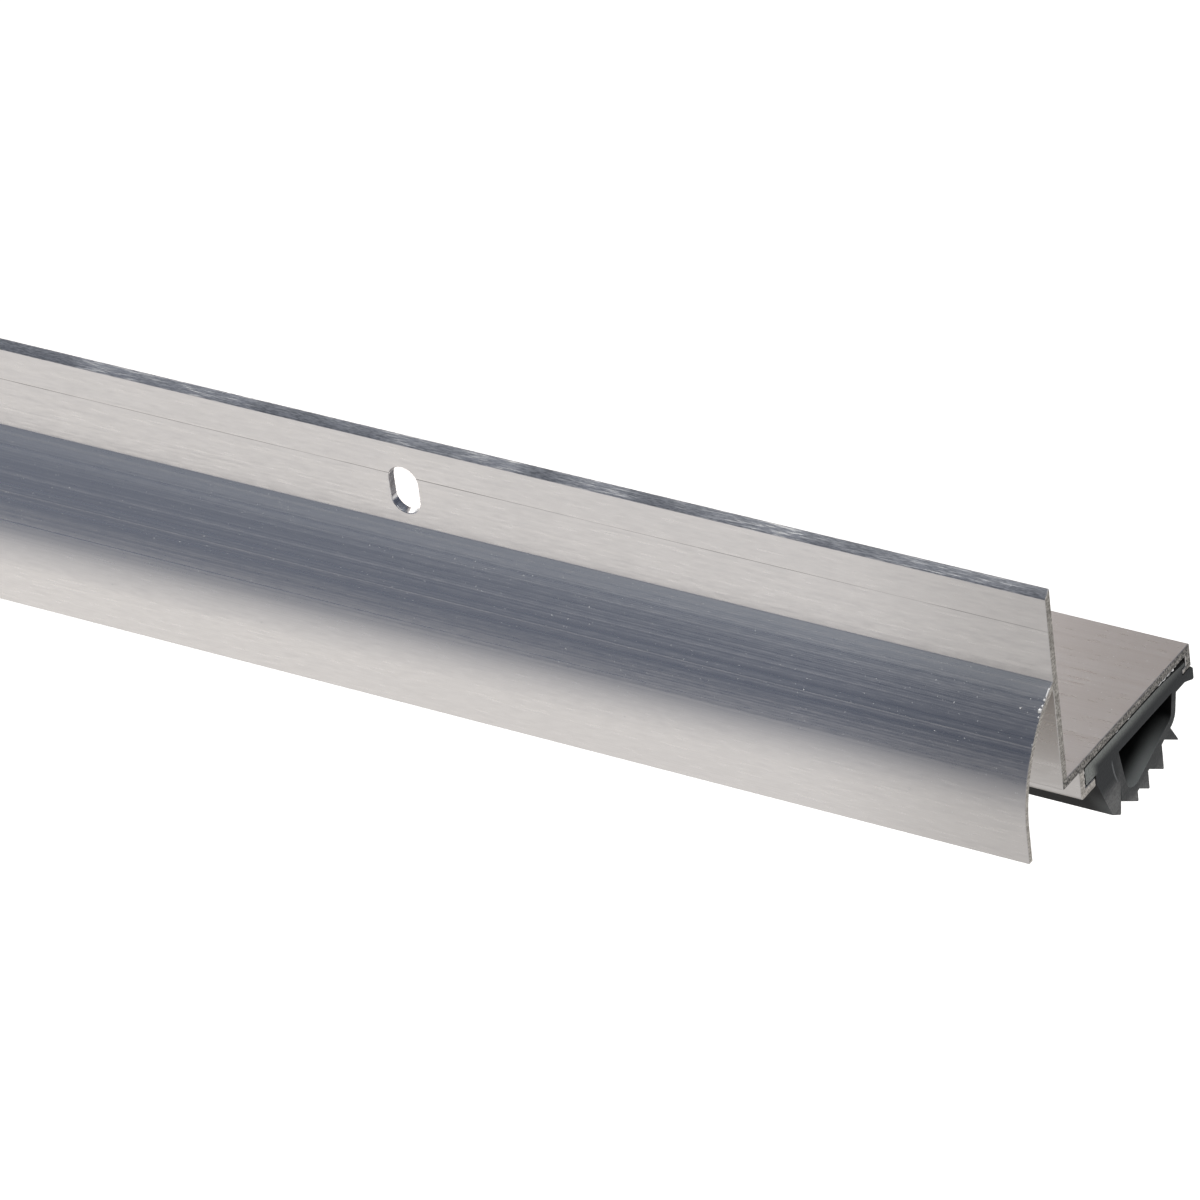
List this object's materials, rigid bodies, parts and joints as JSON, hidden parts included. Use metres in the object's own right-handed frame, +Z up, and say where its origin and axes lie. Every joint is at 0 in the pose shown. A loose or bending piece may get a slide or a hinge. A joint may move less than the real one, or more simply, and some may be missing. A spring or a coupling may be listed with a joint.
{
  "type": "door bottom with drip cap",
  "caption": "Aluminium door bottom with a curved drip cap, upright screw slots and a track that holds a hollow toothed vinyl seal under the door.",
  "frame": {"origin": "inner corner of the rail at mid length, where the door's outside face meets its lower edge", "axes": "+X along the rail and the door, -Y outdoors over the drip cap, +Z up along the leg"},
  "size_m": [0.9144, 0.0557, 0.0548],
  "materials": {
    "mill_aluminium": "mill finish with fine draw lines along the length",
    "grey_vinyl": "satin, as extruded, with saw-cut ends"
  },
  "bodies": {
    "root": {"aluminium_rail": "mill_aluminium", "vinyl_seal": "grey_vinyl"}
  },
  "joints": []
}
